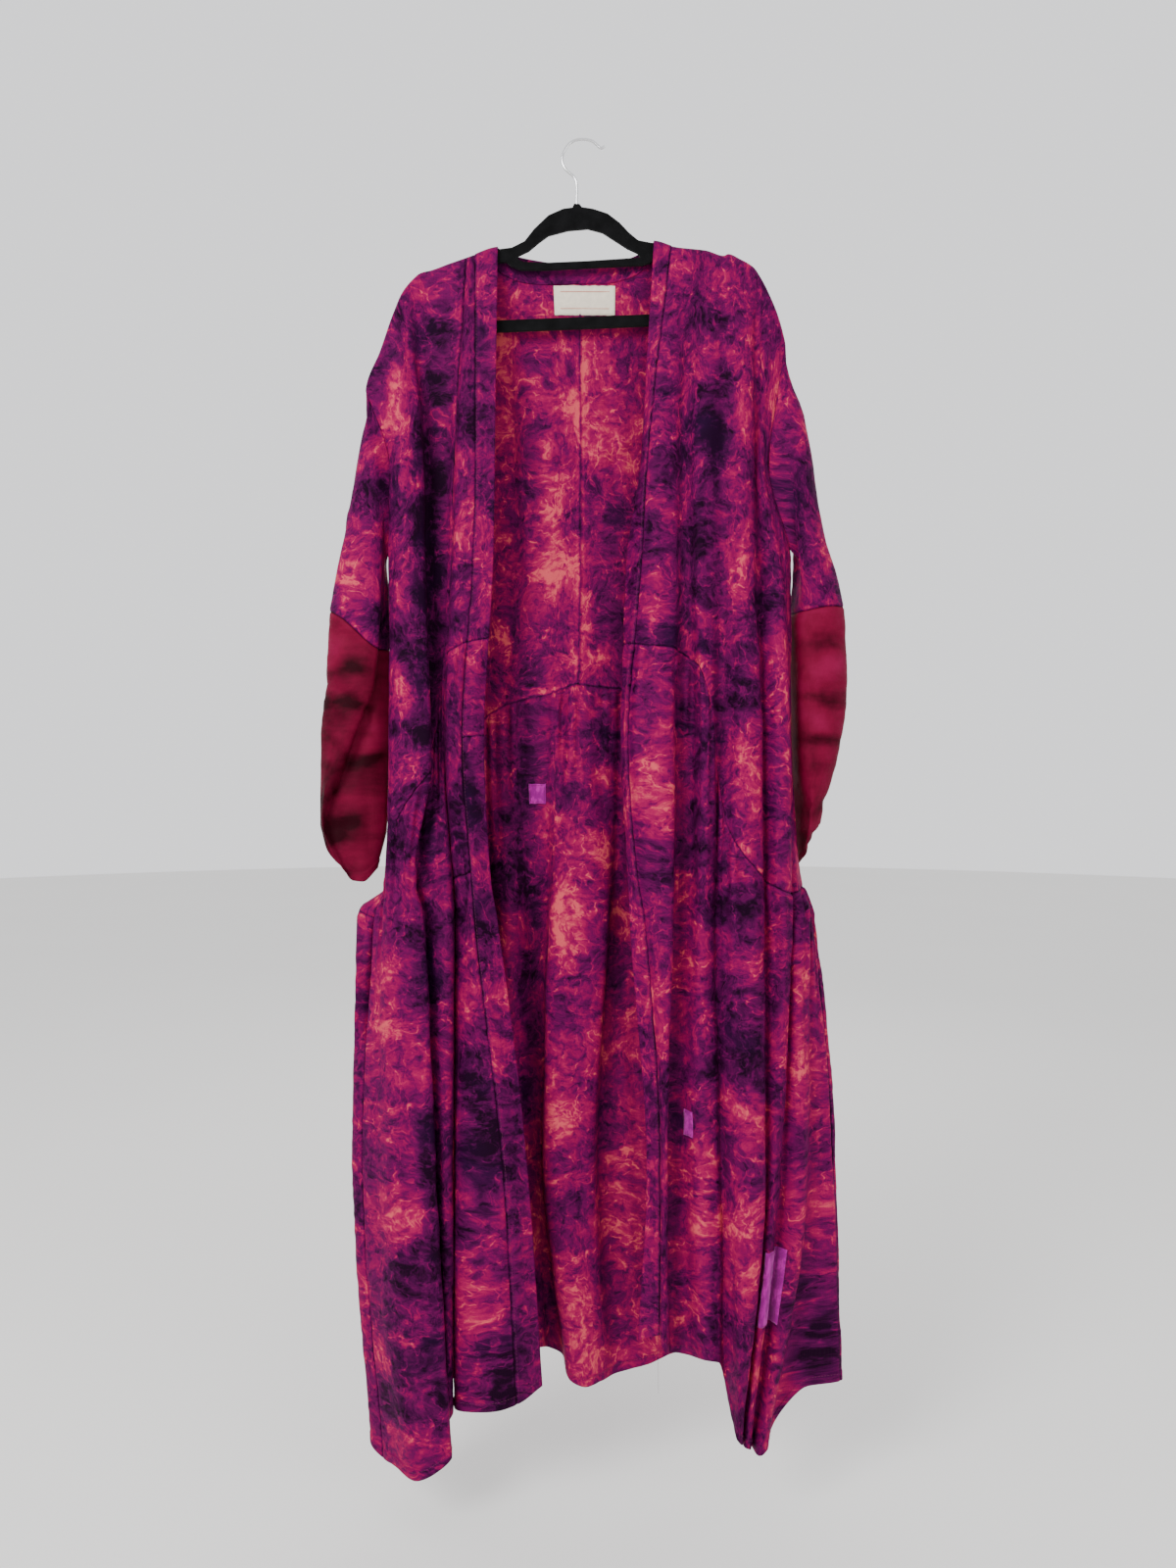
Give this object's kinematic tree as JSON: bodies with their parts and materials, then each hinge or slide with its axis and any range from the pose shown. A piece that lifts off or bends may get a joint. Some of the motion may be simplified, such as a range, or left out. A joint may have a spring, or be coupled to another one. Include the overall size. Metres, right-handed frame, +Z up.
{
  "type": "kimono coat on a hanger",
  "caption": "Long open-fronted tie-dyed patchwork kimono coat with wide sleeves, hanging on a black flocked hanger with a thin wire hook.",
  "frame": {"origin": "underside of the hook's top, where the hook rests on what it hangs from", "axes": "+Z up, +X to the right of someone who faces the coat's front, +Y from the front to the back"},
  "size_m": [0.6204, 0.1035, 1.5544],
  "materials": {
    "dyed_silk": "crinkled magenta, purple and salmon tie-dyed silk",
    "crimson_silk": "smooth crimson silk with dark crease marks",
    "violet_silk": "bright violet silk",
    "label_cloth": "cream woven cotton",
    "black_flock": "black velvet flocking over plastic",
    "bright_steel": "polished wire"
  },
  "bodies": {
    "root": {"back_bodice_left": "dyed_silk", "back_bodice_right": "dyed_silk", "back_skirt": "dyed_silk", "band_neck": "dyed_silk", "front_bodice_left": "dyed_silk", "front_skirt_left": "dyed_silk", "strip_left_upper": "dyed_silk", "strip_left_lower": "dyed_silk", "inner_skirt_left": "dyed_silk", "band_left_upper": "dyed_silk", "band_left_middle": "dyed_silk", "band_left_lower": "dyed_silk", "front_bodice_right": "dyed_silk", "front_skirt_right": "dyed_silk", "band_right_upper": "dyed_silk", "band_right_lower": "dyed_silk", "sleeve_upper_left": "dyed_silk", "sleeve_upper_right": "dyed_silk", "sleeve_lower_left": "crimson_silk", "sleeve_lower_right": "crimson_silk", "label": "label_cloth", "patch_back": "violet_silk", "patch_front": "violet_silk", "patch_small": "violet_silk", "hanger_frame": "black_flock", "hanger_hook": "bright_steel"}
  },
  "joints": []
}
